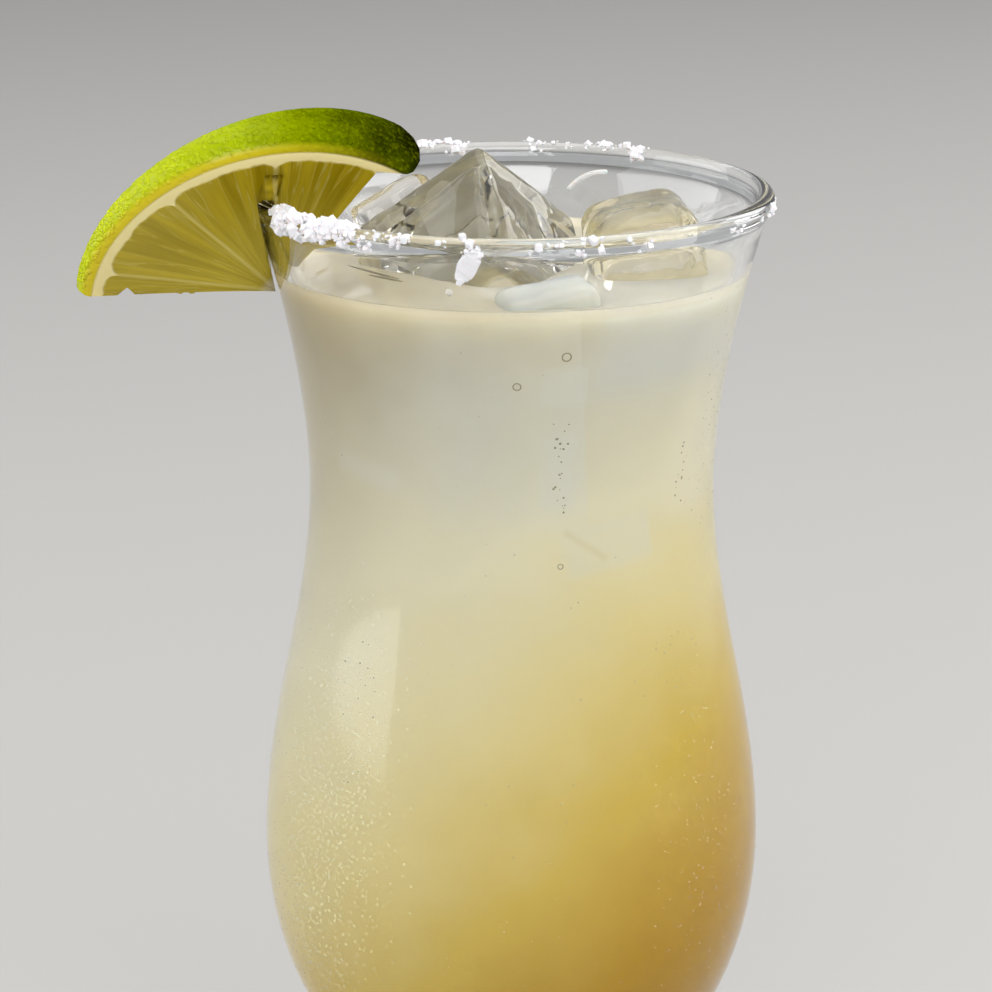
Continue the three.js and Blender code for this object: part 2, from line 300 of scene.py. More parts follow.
class Bench:
    """Modelling steps made with Blender's operators."""

    DOUBLES = 0.002 * MM

    @staticmethod
    def pick(piece: bpy.types.Object | None) -> None:
        """Leaves edit mode and selects one piece alone.

        Args:
            piece: The piece, or None to select nothing.
        """
        if bpy.context.object and bpy.context.object.mode != "OBJECT":
            bpy.ops.object.mode_set(mode="OBJECT")
        bpy.ops.object.select_all(action="DESELECT")
        if piece:
            piece.select_set(True)
            bpy.context.view_layer.objects.active = piece

    @classmethod
    @contextmanager
    def editing(cls, piece: bpy.types.Object) -> Iterator[None]:
        """Opens a piece in edit mode with all of it selected, and leaves edit mode afterwards.

        Args:
            piece: The piece to edit.
        """
        cls.pick(piece)
        bpy.ops.object.mode_set(mode="EDIT")
        bpy.ops.mesh.select_all(action="SELECT")
        yield
        bpy.ops.object.mode_set(mode="OBJECT")

    @staticmethod
    def named(name: str) -> bpy.types.Object:
        """Names the piece that was just added and moves its place and turn into its mesh.

        Args:
            name: The piece's name.

        Returns:
            The piece.
        """
        piece = bpy.context.object
        piece.name = piece.data.name = name
        bpy.ops.object.transform_apply(location=True, rotation=True, scale=True)
        return piece

    @staticmethod
    def hang(name: str, data: bpy.types.ID) -> bpy.types.Object:
        """Puts a new object into the scene.

        Args:
            name: The object's name.
            data: Its mesh, light or camera.

        Returns:
            The object.
        """
        made = bpy.data.objects.new(name, data)
        data.name = name
        bpy.context.collection.objects.link(made)
        return made

    @classmethod
    def turned(cls, name: str, outline: Outline, steps: int) -> bpy.types.Object:
        """Draws an outline by extruding a point and spins it round the Z axis.

        Args:
            name: The piece's name.
            outline: Radius and height in millimetres, from axis to axis.
            steps: Faces round the turn.

        Returns:
            The closed piece.
        """
        cls.pick(None)
        start = Vector((outline[0][0], 0, outline[0][1])) * MM
        bpy.ops.mesh.primitive_plane_add(size=MM, location=start)
        piece = cls.named(name)
        with cls.editing(piece):
            bpy.ops.mesh.merge(type="CENTER")
            for (radius, height), (next_radius, next_height) in zip(outline, outline[1:]):
                move = ((next_radius - radius) * MM, 0, (next_height - height) * MM)
                bpy.ops.mesh.extrude_region_move(TRANSFORM_OT_translate={"value": move})
            bpy.ops.mesh.select_all(action="SELECT")
            bpy.ops.mesh.spin(steps=steps, angle=TURN, center=(0, 0, 0), axis=(0, 0, 1))
        cls.close(piece)
        return piece

    @classmethod
    def close(cls, piece: bpy.types.Object) -> None:
        """Merges doubles and points all faces outwards.

        Args:
            piece: The piece to close.
        """
        with cls.editing(piece):
            bpy.ops.mesh.remove_doubles(threshold=cls.DOUBLES)
            bpy.ops.mesh.normals_make_consistent(inside=False)

    @classmethod
    def copy_of(cls, node: str, name: str) -> bpy.types.Object:
        """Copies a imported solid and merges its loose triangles.

        Args:
            node: The solid's node.
            name: The copy's name.

        Returns:
            The copy.
        """
        piece = cls.hang(name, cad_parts[node].data.copy())
        with cls.editing(piece):
            bpy.ops.mesh.remove_doubles(threshold=cls.DOUBLES)
        return piece

    @classmethod
    def smaller_copy(cls, piece: bpy.types.Object, name: str, share: float, turn: float) -> bpy.types.Object:
        """A copy of a piece that is shrunk and turned about its middle.

        Args:
            piece: The piece to copy.
            name: The copy's name.
            share: The copy's size as a share of the piece's.
            turn: Turn about X and Z in radians.

        Returns:
            The copy.
        """
        made = cls.hang(name, piece.data.copy())
        middle = sum((Vector(corner) for corner in made.bound_box), Vector()) / 8
        with cls.editing(made):
            bpy.ops.transform.resize(value=(share,) * 3, center_override=middle)
            for axis in "XZ":
                bpy.ops.transform.rotate(value=turn, orient_axis=axis, center_override=middle)
        return made

    @classmethod
    def from_arrays(cls, name: str, points: np.ndarray, faces: list[tuple[int, ...]]) -> bpy.types.Object:
        """One piece out of many small shapes.

        Args:
            name: The piece's name.
            points: Corners in metres.
            faces: Corner numbers of each face.

        Returns:
            The new piece.
        """
        mesh = bpy.data.meshes.new(name)
        mesh.from_pydata(points.tolist(), [], faces)
        mesh.validate()
        return cls.hang(name, mesh)

    @classmethod
    def modify(cls, piece: bpy.types.Object, kind: str, settings: Mapping[str, Any]) -> None:
        """Adds a modifier and applies it.

        Args:
            piece: The piece to change.
            kind: The modifier's type.
            settings: The modifier's settings.
        """
        cls.pick(piece)
        made = piece.modifiers.new(kind.title(), kind)
        for key, value in settings.items():
            setattr(made, key, value)
        bpy.ops.object.modifier_apply(modifier=made.name)

    @classmethod
    def smooth(cls, piece: bpy.types.Object, degrees: float) -> None:
        """Smooth shading up to an angle between faces."""
        cls.pick(piece)
        bpy.ops.object.shade_smooth_by_angle(angle=math.radians(degrees))

    @classmethod
    def settle(
        cls, piece: bpy.types.Object, material: bpy.types.Material, slot: str, *nodes: str
    ) -> None:
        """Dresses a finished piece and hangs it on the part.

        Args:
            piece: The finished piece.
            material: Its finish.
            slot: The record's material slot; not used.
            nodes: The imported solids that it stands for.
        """
        piece.data.materials.clear()
        piece.data.materials.append(material)
        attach(piece, "root")
        if nodes:
            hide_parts(*nodes)
        piece.data.calc_loop_triangles()
        log.info("%s: %d triangles", piece.name, len(piece.data.loop_triangles))


@dataclass(frozen=True)
class ClearGlass:
    """Polished glass with a breath of mist on the belly."""

    colour: Colour = (0.985, 0.995, 0.99, 1.0)
    bend: float = 1.5
    polish: float = 0.012
    mist: float = 0.1

    def material(self) -> bpy.types.Material:
        """Builds the finish.

        Returns:
            The material.
        """
        sheet = NodeSheet("clear glass")
        place = sheet.place()
        across, _, height = sheet.split(place)
        patch = sheet.noise(place, 0.045, 2.0)
        low = sheet.rise(height, 160.0, 132.0) * sheet.rise(height, 58.0, 84.0)
        misted = low * sheet.rise(patch - across * 0.004, 0.36, 0.62)
        return sheet.finish({
            "Base Color": self.colour,
            "Roughness": misted * self.mist + self.polish,
            "IOR": self.bend,
            "Transmission Weight": 1.0,
        })


@dataclass(frozen=True)
class PaleSpot:
    """Ice that lies against the wall inside the drink and shows as a pale patch.

    Its middle is given by the turn round the glass in degrees and the drop below the rim.
    """

    angle: float
    drop: float
    width: float
    height: float
    soft: float
    tilt: float
    strength: float
    crisp: float = 0.0
    tone: Colour = tint(238, 239, 230)


@dataclass(frozen=True)
class CloudyDrink:
    """Cloudy lime drink, yellower and deeper further down, with painted shade greying its top and painted
    shade deepening the yellow towards the right.
    """

    level: float
    top: float
    tones: tuple[tuple[float, Colour], ...] = (
        # The grey first stop near the surface is painted shade; below it the tones follow the drink's own
        # depth.
        (6.0, tint(190, 180, 152)),
        (24.0, tint(228, 224, 204)),
        (47.0, tint(248, 242, 212)),
        (75.0, tint(244, 230, 170)),
        (101.0, tint(231, 203, 97)),
        (131.0, tint(204, 160, 18)),
        (164.0, tint(190, 142, 6)),
    )
    spots: tuple[PaleSpot, ...] = (
        PaleSpot(268.0, 28.0, 22.0, 32.0, 3.5, 2.0, 0.32, 0.25),
        PaleSpot(283.5, 22.8, 6.8, 5.5, 1.0, 0.0, 0.45, 0.2),
        PaleSpot(283.0, 36.0, 4.8, 11.0, 1.5, -3.0, 0.5),
        PaleSpot(224.0, 37.8, 12.0, 3.4, 1.4, -8.0, 0.4),
        PaleSpot(299.0, 47.8, 14.0, 7.5, 1.2, 8.0, 0.3, 0.6),
        PaleSpot(291.5, 47.6, 8.0, 0.9, 0.5, -36.0, 0.25, 0.0, tint(222, 204, 146)),
        PaleSpot(334.0, 30.0, 12.0, 30.0, 4.0, -8.0, 0.7, 0.0, tint(252, 246, 220)),
        PaleSpot(318.0, 17.0, 30.0, 15.0, 4.0, 0.0, 0.5, 0.0, tint(228, 232, 230)),
        PaleSpot(20.0, 34.0, 20.0, 26.0, 3.0, 12.0, 0.4, 0.3),
        PaleSpot(80.0, 26.0, 24.0, 22.0, 3.0, -14.0, 0.4, 0.3),
        PaleSpot(140.0, 40.0, 22.0, 24.0, 3.0, 8.0, 0.4, 0.3),
    )
    left_tone: Colour = tint(205, 190, 145)
    # Grey-beige painted shade laid on the top face and the meniscus.
    shaded_surface_tone: Colour = tint(202, 188, 156)
    glow: float = 9.0

    def spot(self, sheet: NodeSheet, parts: tuple[Wire, Wire, Wire], spot: PaleSpot) -> Wire:
        """How much of a pale spot shows at a point.

        Args:
            sheet: The material's node sheet.
            parts: The point's place in millimetres.
            spot: The spot.

        Returns:
            A share from 0 to the spot's strength.
        """
        x, y, z = parts
        turn, tilt = math.radians(spot.angle), math.radians(spot.tilt)
        side = y * math.cos(turn) - x * math.sin(turn)
        front = sheet.rise(x * math.cos(turn) + y * math.sin(turn), 4.0, 9.0)
        up = z - (self.top - spot.drop)
        along = side * math.cos(tilt) + up * math.sin(tilt)
        upward = up * math.cos(tilt) - side * math.sin(tilt)
        right_soft = spot.crisp or spot.soft
        shown = sheet.rise(along, -spot.width / 2 - spot.soft, -spot.width / 2 + spot.soft)
        shown = shown * sheet.rise(along, spot.width / 2 + right_soft, spot.width / 2 - right_soft)
        shown = shown * sheet.rise(abs(upward), spot.height / 2 + spot.soft, spot.height / 2 - spot.soft)
        return shown * front * spot.strength

    def material(self) -> bpy.types.Material:
        """Builds the finish.

        Returns:
            The material.
        """
        sheet = NodeSheet("cloudy drink")
        place = sheet.place()
        parts = sheet.split(place)
        across, _, height = parts
        drift = sheet.noise(place, 0.05, 2.0)
        wisp = sheet.noise(place, 0.12, 3.0)
        lower = sheet.rise(height, self.level - 8, self.level - 70)
        # Depth grows with the drop below the rim, which is the drink's own tone, and also towards the right,
        # which is painted shade away from the key light on the left.
        depth = self.top - height + across * (0.3 + 0.6 * lower) + (drift - 0.5) * 22.0
        span = self.tones[-1][0]
        tone = sheet.ramp(depth / span, [(at / span, colour) for at, colour in self.tones])
        for spot in self.spots:
            tone = sheet.mix(self.spot(sheet, parts, spot) * (wisp + 0.5), tone, spot.tone)
        left = sheet.rise(across, -12.0, -32.0) * sheet.rise(height, self.level - 60, self.level - 20)
        tone = sheet.mix(left * 0.5, tone, self.left_tone)
        # Painted shade: the top face and the meniscus are greyed towards the shaded surface tone; the same
        # mask gives them their wet coat.
        surface = sheet.rise(height, self.level - 1.0, self.level - 0.2)
        tone = sheet.mix(surface * 0.35, tone, self.shaded_surface_tone)
        return sheet.finish({
            "Base Color": tone,
            "Roughness": 0.3,
            "Specular IOR Level": 0.0,
            "Coat Weight": surface,
            "Coat Roughness": 0.04,
            "Coat IOR": 1.34,
            "Subsurface Weight": 1.0,
            "Subsurface Radius": (1.0, 0.9, 0.6),
            "Subsurface Scale": self.glow * MM,
        })


@dataclass(frozen=True)
class ClearIce:
    """Wet, wavy clear ice with a few dull patches."""

    colour: Colour = (0.965, 0.95, 0.91, 1.0)
    bend: float = 1.31

    def material(self) -> bpy.types.Material:
        """Builds the finish.

        Returns:
            The material.
        """
        sheet = NodeSheet("clear ice")
        waves = sheet.noise(sheet.place(), 0.1, 1.0)
        return sheet.finish({
            "Base Color": self.colour,
            "Roughness": sheet.rise(waves, 0.6, 0.8) * 0.1 + 0.005,
            "IOR": self.bend,
            "Transmission Weight": 1.0,
            "Normal": sheet.bump(waves, 2.0, 0.5),
        })


@dataclass(frozen=True)
class PlainFinish:
    """One even colour, for small things, milky ice and the floor."""

    name: str
    colour: Colour
    roughness: float = 0.5
    clear: float = 0.0
    bend: float = 1.45
    glow_through: float = 0.0
    reach: float = 1.0

    def material(self) -> bpy.types.Material:
        """Builds the finish.

        Returns:
            The material.
        """
        return NodeSheet(self.name).finish({
            "Base Color": self.colour,
            "Roughness": self.roughness,
            "IOR": self.bend,
            "Transmission Weight": self.clear,
            "Subsurface Weight": self.glow_through,
            "Subsurface Scale": self.reach * MM,
        })


@dataclass(frozen=True)
class LimePoint:
    """A point of the lime in the slice's own frame, with the patterns that its tones share."""

    local: bpy.types.NodeSocket
    right: Wire
    deep: Wire
    out: Wire
    swing: Wire
    waver: Wire
    streak: Wire


@dataclass(frozen=True)
class LimeFinish:
    """Waxy pored rind, cream pith and wet segments of flesh."""

    pose: Matrix
    radius: float
    segments: int
    phase: float
    rind_width: float = 0.9
    pith_width: float = 1.6
    flesh: tuple[Colour, Colour] = (tint(130, 111, 0), tint(166, 146, 26))
    inner_flesh: Colour = tint(192, 174, 70)
    left_flesh: Colour = tint(198, 182, 90)
    threads: Colour = tint(214, 200, 120)
    walls: Colour = tint(208, 194, 116)
    core: Colour = tint(222, 210, 172)
    pith: Colour = tint(226, 212, 152)
    # The rind's greens run from the lit left end to the shaded right end: painted light and painted shade.
    skin: tuple[tuple[float, Colour], ...] = (
        (0.0, tint(186, 197, 0)), (0.4, tint(154, 170, 0)),
        (0.7, tint(98, 112, 0)), (1.0, tint(10, 14, 0)),
    )
    speckles: Colour = tint(176, 188, 6)
    skin_edge: Colour = tint(202, 176, 34)
    glow: float = 2.5

    def point(self, sheet: NodeSheet) -> LimePoint:
        """Works out where a point is and how the segments run there.

        Args:
            sheet: The material's node sheet.

        Returns:
            The point.
        """
        local = sheet.place_in(self.pose)
        right, up, deep = sheet.split(local)
        out = (right * right + up * up) ** 0.5
        turn = sheet.maths("ARCTAN2", up, right)
        half = self.segments / 2
        swing = abs(sheet.maths("SINE", turn * half - math.radians(self.phase) * half))
        waver = sheet.noise(local, 0.35, 2.0) - 0.5
        streak = sheet.noise(sheet.joined(turn * 11.0, out * 0.035, deep * 0.1), 1.0, 2.0)
        return LimePoint(local, right, deep, out, swing, waver, streak)

    def cut_tone(self, sheet: NodeSheet, at: LimePoint, pith: Wire) -> bpy.types.NodeSocket:
        """Colours the cut faces.

        Args:
            sheet: The material's node sheet.
            at: The point.
            pith: How much of the point is pith.

        Returns:
            The colour socket.
        """
        thread = 1.0 - sheet.rise(abs(at.streak - 0.5), 0.0, 0.02)
        wall = 1.0 - sheet.rise(at.swing * at.out / (self.segments / 2), 0.1, 0.5)
        core = 1.0 - sheet.rise(at.out + at.waver * 1.5, 1.6, 3.4)
        layers = (
            (sheet.rise(at.out, 24.0, 5.0) * 0.6, self.inner_flesh),
            (sheet.rise(at.right, -6.0, -22.0) * 0.3, self.left_flesh),
            (thread * 0.22, self.threads),
            (wall * 0.5, self.walls),
            (core * 0.9, self.core),
            (pith, self.pith),
        )
        tone = sheet.mix(sheet.rise(at.streak, 0.3, 0.7), *self.flesh)
        for share, colour in layers:
            tone = sheet.mix(share, tone, colour)
        return tone

    def skin_tone(self, sheet: NodeSheet, at: LimePoint) -> bpy.types.NodeSocket:
        """Colours the rind, with painted light paling it at the left and painted shade darkening it towards
        the right, and yellow along the front edge.

        Args:
            sheet: The material's node sheet.
            at: The point.

        Returns:
            The colour socket.
        """
        mottle = sheet.noise(at.local, 0.14, 3.0)
        speckle = sheet.rise(sheet.noise(at.local, 1.5, 3.0), 0.45, 0.75)
        # Painted light and shade: shade runs from the lit left of the rind to its shaded right end.
        shade = sheet.rise(at.right + (mottle - 0.5) * 18.0, -30.0, 22.0)
        tone = sheet.mix(speckle * (0.36 - shade * 0.22), sheet.ramp(shade, self.skin), self.speckles)
        edge = sheet.rise(at.deep, -1.3, -0.05) * sheet.rise(at.right, 18.0, -12.0)
        return sheet.mix(edge * 0.8, tone, self.skin_edge)

    def material(self) -> bpy.types.Material:
        """Builds the finish.

        Returns:
            The material.
        """
        sheet = NodeSheet("lime")
        at = self.point(sheet)
        rind_edge = self.radius - self.rind_width
        flesh_edge = rind_edge - self.pith_width
        rind = sheet.rise(at.out, rind_edge - 0.25, rind_edge + 0.2)
        ragged = at.out + at.waver * 1.2 + (1.0 - at.swing) ** 6.0 * 1.4
        pith = sheet.rise(ragged, flesh_edge - 0.3, flesh_edge + 0.3)
        dimple = sheet.rise(sheet.cells(at.local, 0.85), 0.0, 0.45) * rind * 0.3
        grain = at.streak * (1.0 - pith) * 0.9
        return sheet.finish({
            "Base Color": sheet.mix(rind, self.cut_tone(sheet, at, pith), self.skin_tone(sheet, at)),
            "Roughness": 0.5,
            "Specular IOR Level": 0.0,
            "Coat Weight": rind * sheet.rise(at.right, 2.0, -16.0) * 0.45 + (1.0 - pith) * 0.12,
            "Coat Roughness": 0.12,
            "Subsurface Weight": 0.3,
            "Subsurface Radius": (1.0, 0.9, 0.3),
            "Subsurface Scale": self.glow * MM,
            "Normal": sheet.bump(dimple + grain, 0.7, 0.8),
        })


@dataclass
class Glass:
    """The stemmed glass: flared rim with a bead, waist, belly, stem and round foot."""

    height: float = 203.0
    rim_radius: float = 39.0
    flare_power: float = 1.66
    waist_radius: float = 30.5
    waist_drop: float = 43.8
    belly_radius: float = 37.8
    belly_drop: float = 100.8
    bowl_round: float = 46.8
    bowl_floor: float = 7.0
    wall_at_rim: float = 2.0
    wall_at_belly: float = 3.0
    bead_radius: float = 1.35
    bead_wrap: float = 0.6
    stem_radius: float = 9.0
    stem_neck: float = 43.0
    stem_join_radius: float = 20.0
    foot_radius: float = 37.0
    foot_edge: float = 3.6
    foot_round: float = 1.2
    foot_lift: float = 1.4
    foot_stand: float = 0.03
    round_steps: int = 144
    finish: ClearGlass = field(default_factory=ClearGlass)

    def outside_radius(self, drop: float) -> float:
        """Works out the outside radius.

        Args:
            drop: Distance below the rim in millimetres.

        Returns:
            The radius in millimetres.
        """
        if drop < self.waist_drop:
            rise = (self.waist_drop - drop) / self.waist_drop
            return self.waist_radius + (self.rim_radius - self.waist_radius) * rise**self.flare_power
        if drop < self.belly_drop:
            part = (drop - self.waist_drop) / (self.belly_drop - self.waist_drop)
            return blend(self.waist_radius, self.belly_radius, (1 - math.cos(math.pi * part)) / 2)
        part = (drop - self.belly_drop) / self.bowl_round
        return self.belly_radius * math.sqrt(max(0.0, 1 - part * part))

    def inside_radius(self, drop: float) -> float:
        """Inside radius at a drop between rim and belly."""
        wall = blend(self.wall_at_rim, self.wall_at_belly, drop / self.belly_drop)
        return self.outside_radius(drop) - wall

    def bowl_bottom(self, radius: float, depth: float, start: float, steps: int) -> Outline:
        """Points round the bottom of the bowl.

        Args:
            radius: Radius at the belly.
            depth: Height from the belly to the lowest point.
            start: Angle at which the points start, a quarter turn being the axis.
            steps: How many steps to the belly.

        Returns:
            Radius and height of each point, from the bottom up.
        """
        belly = self.height - self.belly_drop
        return [
            (max(0.0, radius * math.cos(angle)) if angle < TURN / 4 else 0.0, belly - depth * math.sin(angle))
            for angle in even_steps(start, 0.0, steps)
        ]

    @staticmethod
    def sweep(corners: Sequence[tuple[float, float]], steps: int) -> Outline:
        """Draws a smooth curve from the first to the last of four corners.

        Args:
            corners: Radius and height of the corners.
            steps: How many steps the curve has.

        Returns:
            The curve's points without the first one.
        """
        one, two, three, four = (np.array(corner) for corner in corners)
        points = []
        for part in even_steps(0.0, 1.0, steps)[1:]:
            rest = 1 - part
            at = one * rest**3 + two * 3 * rest**2 * part + three * 3 * rest * part**2 + four * part**3
            points.append((float(at[0]), float(at[1])))
        return points

    def foot_and_stem(self, tuck: float) -> Outline:
        """Draws the foot with a rounded edge, its sweep to the neck and out into the bowl.

        Args:
            tuck: Angle round the bottom of the bowl at which the stem joins it.

        Returns:
            The outline from the middle of the foot up.
        """
        radius, edge, corner = self.foot_radius, self.foot_edge, self.foot_round
        join = (self.stem_join_radius, self.height - self.belly_drop - self.bowl_round * math.sin(tuck))
        slope = Vector((self.belly_radius * math.sin(tuck), self.bowl_round * math.cos(tuck)))
        slope = slope.normalized() * self.stem_radius
        lift, stand = self.foot_lift, self.foot_stand
        points = [(0.0, lift)]
        points += self.sweep(
            [points[0], (radius * 0.4, lift), (radius * 0.7, stand), (radius - 2 * corner, stand)], 10
        )
        points.append((radius - corner, stand))
        points += self.sweep([points[-1], (radius, stand), (radius, stand), (radius, corner)], 5)
        points.append((radius, edge - corner))
        points += self.sweep([points[-1], (radius, edge), (radius, edge), (radius - corner, edge)], 5)
        neck = (self.stem_radius, self.stem_neck)
        points += self.sweep(
            [points[-1], (radius / 2, 2 * edge), (self.stem_radius, self.stem_neck / 3), neck], 18
        )
        points += self.sweep(
            [neck, (self.stem_radius, self.stem_neck + self.stem_radius),
             (join[0] - slope.x, join[1] - slope.y), join], 12
        )
        return points

    def outline(self) -> Outline:
        """Draws the whole outline.

        Returns:
            The outline from the middle of the foot to the bottom of the hollow.
        """
        tuck = math.acos(self.stem_join_radius / self.belly_radius)
        bead_drop = 3 * self.bead_radius
        bead_at = (self.rim_radius - self.bead_radius, self.height - self.bead_radius)
        points = self.foot_and_stem(tuck)
        points += self.bowl_bottom(self.belly_radius, self.bowl_round, tuck, 14)[1:]
        points += [
            (self.outside_radius(drop), self.height - drop)
            for drop in even_steps(self.belly_drop, bead_drop, 34)[1:]
        ]
        points += [
            (bead_at[0] + self.bead_radius * math.cos(angle), bead_at[1] + self.bead_radius * math.sin(angle))
            for angle in even_steps(-self.bead_wrap, math.pi + self.bead_wrap, 14)
        ]
        points += [
            (self.inside_radius(drop), self.height - drop)
            for drop in even_steps(bead_drop, self.belly_drop, 34)
        ]
        inner = self.bowl_bottom(
            self.belly_radius - self.wall_at_belly, self.bowl_round - self.bowl_floor, TURN / 4, 18
        )
        return points + inner[::-1][1:]

    def from_rim(self, place: Sequence[float]) -> Vector:
        """A place in metres, given in millimetres from the middle of the rim."""
        return Vector((place[0], place[1], self.height + place[2])) * MM

    def skin(self, angle: float, drop: float) -> tuple[Vector, Vector]:
        """A point on the outside wall and the wall's outward direction there.

        Args:
            angle: Turn round the axis in radians.
            drop: Distance below the rim in millimetres.

        Returns:
            The point in metres and the direction of length one.
        """
        radius = self.outside_radius(drop)
        slope = self.outside_radius(drop + 0.5) - self.outside_radius(drop - 0.5)
        outward = Vector((math.cos(angle), math.sin(angle), slope)).normalized()
        return round_axis(radius, angle, self.height - drop), outward

    def build(self) -> None:
        """Turns the glass and dresses it."""
        piece = Bench.turned("glass_clear", self.outline(), self.round_steps)
        Bench.smooth(piece, 50)
        Bench.settle(piece, self.finish.material(), "glass", "glass")


class SaltSide(Enum):
    """How thickly salt lies on the rim, as the number of fine grains round each coarse one."""

    CRUST = 15
    CLUMP = 8
    SPARSE = 3


@dataclass(frozen=True)
class SaltStretch:
    """A stretch of rim with salt, in degrees round the glass and round the bead."""

    start: float
    end: float
    count: int
    wide: float
    fine: float
    outside: float
    inside: float
    side: SaltSide


@dataclass
class Grains:
    """Many small shapes gathered into one piece."""

    shape: np.ndarray
    faces: list[tuple[int, ...]]
    points: list[np.ndarray] = field(default_factory=list)
    wear: float = 0.08

    def add(self, place: Vector, turn: Matrix, size: Sequence[float], chance: Chance | None = None) -> None:
        """Adds one copy of the shape.

        Args:
            place: Middle in metres.
            turn: How it is turned.
            size: Widths in millimetres.
            chance: Where given, moves each corner a little.
        """
        points = self.shape * np.array(size)
        if chance:
            shift = np.array([chance.between(-self.wear, self.wear) for _ in range(points.size)])
            points = points + shift.reshape(points.shape) * min(size)
        turned = points @ np.array(turn.to_3x3()).T
        self.points.append(turned * MM + np.array(place))

    def build(self, name: str) -> bpy.types.Object:
        """Makes the piece.

        Args:
            name: The piece's name.

        Returns:
            The piece.
        """
        count = len(self.shape)
        faces = [
            tuple(corner + index * count for corner in face)
            for index in range(len(self.points))
            for face in self.faces
        ]
        return Bench.from_arrays(name, np.concatenate(self.points), faces)

    def settle(self, name: str, material: bpy.types.Material, slot: str, degrees: float) -> None:
        """Makes the piece, smooths it and dresses it.

        Args:
            name: The piece's name.
            material: Its finish.
            slot: The record's material slot.
            degrees: The angle between faces up to which it is smooth.
        """
        piece = self.build(name)
        Bench.smooth(piece, degrees)
        Bench.settle(piece, material, slot)


def taken(piece: bpy.types.Object, unit: float) -> Shape:
    """Takes a piece's corners and faces and clears the piece away.

    Args:
        piece: The piece.
        unit: The length in metres that becomes one.

    Returns:
        The corners and the faces.
    """
    points = np.array([vertex.co[:] for vertex in piece.data.vertices]) / unit
    faces = [tuple(face.vertices) for face in piece.data.polygons]
    bpy.data.objects.remove(piece)
    return points, faces


def crystal_shape(bevel: float) -> Shape:
    """Models a block of width one with cut edges and corners.

    Args:
        bevel: The cut as a share of the width.

    Returns:
        The block's corners and faces.
    """
    Bench.pick(None)
    bpy.ops.mesh.primitive_cube_add(size=1.0)
    piece = bpy.context.object
    with Bench.editing(piece):
        bpy.ops.mesh.bevel(offset=bevel, segments=1, affect="EDGES")
    return taken(piece, 1.0)


def round_shape(outline: Outline, steps: int) -> Shape:
    """A small turned shape from an outline of its own unit."""
    return taken(Bench.turned("shape", outline, steps), MM)


